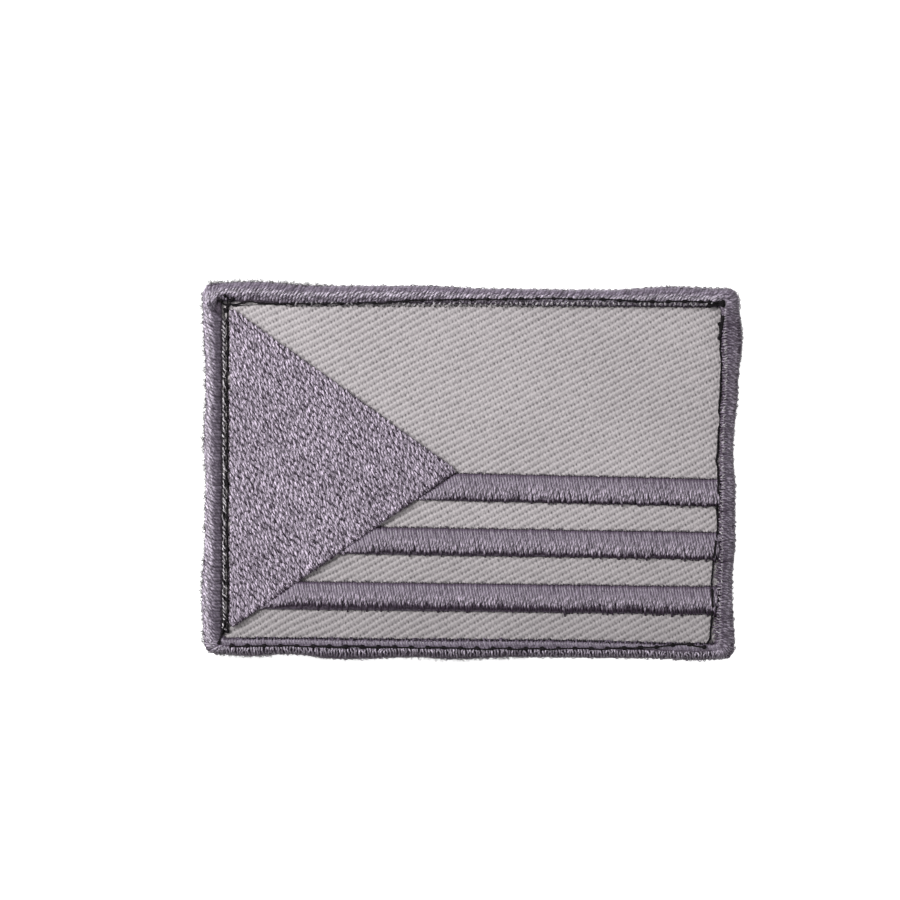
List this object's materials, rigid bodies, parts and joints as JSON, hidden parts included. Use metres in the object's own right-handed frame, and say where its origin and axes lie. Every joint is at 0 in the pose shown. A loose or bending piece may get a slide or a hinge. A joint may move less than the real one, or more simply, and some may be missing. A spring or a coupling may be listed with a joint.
{
  "type": "embroidered flag patch",
  "caption": "Rectangular embroidered cloth patch with a flag design of a triangle and raised bars, a satin border and a hook tape backing.",
  "frame": {"origin": "middle of the surface that the patch lies on, under the middle of its bounding box", "axes": "+X along the patch to the flag's fly end, +Y to the flag's top edge, +Z out of the embroidered face"},
  "size_m": [0.08, 0.056, 0.0042],
  "materials": {
    "twill": "light grey polyester twill, matte with a faint sheen on its ribs",
    "embroidery_thread": "slate grey embroidery thread with a silky sheen",
    "seam_thread": "black sewing thread, matte",
    "hook_tape": "black woven nylon tape with moulded hooks, slightly shiny"
  },
  "bodies": {
    "root": {"twill_ground": "twill", "triangle_fill": "embroidery_thread", "stripe_upper": "embroidery_thread", "stripe_middle": "embroidery_thread", "stripe_lower": "embroidery_thread", "border": "embroidery_thread", "hook_backing": "hook_tape"}
  },
  "joints": []
}
